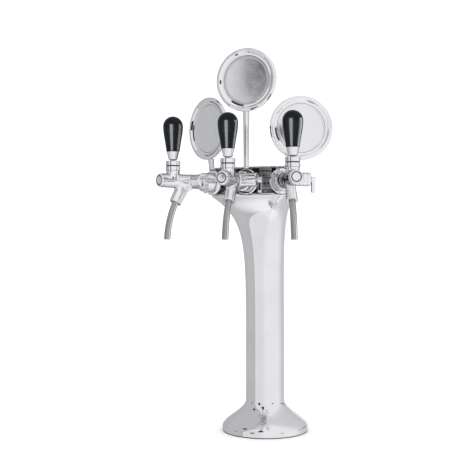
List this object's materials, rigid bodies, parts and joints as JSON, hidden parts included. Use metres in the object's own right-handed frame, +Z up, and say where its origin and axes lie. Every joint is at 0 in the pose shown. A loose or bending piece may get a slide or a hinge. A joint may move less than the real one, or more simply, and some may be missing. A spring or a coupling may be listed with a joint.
{
  "type": "beer tap tower",
  "caption": "Chrome bar tower: round foot, slim column with a forward hood, and a fan of levered taps with flow controls under round medallion plates.",
  "frame": {"origin": "centre of the foot's underside, on the column axis", "axes": "+Z up, the taps point to -Y, +X to the right as seen from the taps' side"},
  "size_m": [0.2952, 0.315, 0.74],
  "materials": {
    "column_chrome": "polished chrome plate on steel, slightly softer than the taps",
    "bright_chrome": "mirror-polished chrome plate",
    "satin_plate": "fine satin disc, brushed in circles",
    "spout_steel": "satin stainless steel",
    "steel": "machined stainless steel",
    "black_grip": "glossy black moulded plastic",
    "rubber": "dull black rubber",
    "foam": "closed-cell foam",
    "hose": "food-grade tube",
    "nylon": "natural nylon"
  },
  "bodies": {
    "root": {"column_shell": "column_chrome", "base_ring": "steel", "base_gasket": "rubber", "insulation_sleeve": "foam", "head_band": "bright_chrome", "head_lid": "bright_chrome", "head_lid_screws": "steel", "shank_locknuts": "steel", "line_nuts": "steel", "tap_flanges": "bright_chrome", "coupling_nuts": "bright_chrome", "bonnets": "bright_chrome", "pivot_seats": "nylon", "nose_caps": "bright_chrome", "beer_line_left": "hose", "beer_line_middle": "hose", "beer_line_right": "hose", "shank_left": "steel", "shank_middle": "steel", "shank_right": "steel", "medallion_bracket_left": "bright_chrome", "medallion_bracket_middle": "bright_chrome", "medallion_bracket_right": "bright_chrome", "medallion_disc_left": "bright_chrome", "medallion_disc_middle": "bright_chrome", "medallion_disc_right": "bright_chrome", "medallion_insert_left": "satin_plate", "medallion_insert_middle": "satin_plate", "medallion_insert_right": "satin_plate", "tap_body_left": "bright_chrome", "tap_body_middle": "bright_chrome", "tap_body_right": "bright_chrome", "spout_left": "spout_steel", "spout_middle": "spout_steel", "spout_right": "spout_steel", "flow_housing_left": "bright_chrome", "flow_housing_middle": "bright_chrome", "flow_housing_right": "bright_chrome"},
    "handle_left": {"lever_left": "steel", "ferrule_left": "bright_chrome", "grip_left": "black_grip"},
    "valve_left": {"valve_stem_left": "steel", "valve_seal_left": "rubber"},
    "flow_left": {"flow_lever_left": "bright_chrome"},
    "cone_left": {"flow_cone_left": "nylon"},
    "handle_middle": {"lever_middle": "steel", "ferrule_middle": "bright_chrome", "grip_middle": "black_grip"},
    "valve_middle": {"valve_stem_middle": "steel", "valve_seal_middle": "rubber"},
    "flow_middle": {"flow_lever_middle": "bright_chrome"},
    "cone_middle": {"flow_cone_middle": "nylon"},
    "handle_right": {"lever_right": "steel", "ferrule_right": "bright_chrome", "grip_right": "black_grip"},
    "valve_right": {"valve_stem_right": "steel", "valve_seal_right": "rubber"},
    "flow_right": {"flow_lever_right": "bright_chrome"},
    "cone_right": {"flow_cone_right": "nylon"}
  },
  "joints": [
    {"name": "tap_handle_left", "type": "hinge", "parent": "root", "child": "handle_left", "pos_m": [-0.116, -0.18239, 0.517], "axis": [0.866, -0.5, 0], "range_deg": [0, 20]},
    {"name": "valve_slide_left", "type": "slide", "parent": "root", "child": "valve_left", "axis": [-0.5, -0.866, 0], "range_m": [-0.0036, 0.0001]},
    {"name": "flow_turn_left", "type": "hinge", "parent": "root", "child": "flow_left", "pos_m": [-0.0955, -0.14688, 0.488], "axis": [0.866, -0.5, 0], "range_deg": [-45, 45]},
    {"name": "cone_slide_left", "type": "slide", "parent": "root", "child": "cone_left", "axis": [-0.5, -0.866, 0], "range_m": [-0.0022, 0.0022]},
    {"name": "tap_handle_middle", "type": "hinge", "parent": "root", "child": "handle_middle", "pos_m": [0, -0.199, 0.517], "axis": [1, 0, 0], "range_deg": [0, 20]},
    {"name": "valve_slide_middle", "type": "slide", "parent": "root", "child": "valve_middle", "axis": [0, -1, 0], "range_m": [-0.0036, 0.0001]},
    {"name": "flow_turn_middle", "type": "hinge", "parent": "root", "child": "flow_middle", "pos_m": [0, -0.158, 0.488], "axis": [1, 0, 0], "range_deg": [-45, 45]},
    {"name": "cone_slide_middle", "type": "slide", "parent": "root", "child": "cone_middle", "axis": [0, -1, 0], "range_m": [-0.0022, 0.0022]},
    {"name": "tap_handle_right", "type": "hinge", "parent": "root", "child": "handle_right", "pos_m": [0.116, -0.18239, 0.517], "axis": [0.866, 0.5, 0], "range_deg": [0, 20]},
    {"name": "valve_slide_right", "type": "slide", "parent": "root", "child": "valve_right", "axis": [0.5, -0.866, 0], "range_m": [-0.0036, 0.0001]},
    {"name": "flow_turn_right", "type": "hinge", "parent": "root", "child": "flow_right", "pos_m": [0.0955, -0.14688, 0.488], "axis": [0.866, 0.5, 0], "range_deg": [-45, 45]},
    {"name": "cone_slide_right", "type": "slide", "parent": "root", "child": "cone_right", "axis": [0.5, -0.866, 0], "range_m": [-0.0022, 0.0022]}
  ],
  "couplings": [
    {"joint": "valve_slide_left", "follows": "tap_handle_left", "m_per_rad": -0.01},
    {"joint": "cone_slide_left", "follows": "flow_turn_left", "m_per_rad": -0.0027},
    {"joint": "valve_slide_middle", "follows": "tap_handle_middle", "m_per_rad": -0.01},
    {"joint": "cone_slide_middle", "follows": "flow_turn_middle", "m_per_rad": -0.0027},
    {"joint": "valve_slide_right", "follows": "tap_handle_right", "m_per_rad": -0.01},
    {"joint": "cone_slide_right", "follows": "flow_turn_right", "m_per_rad": -0.0027}
  ]
}
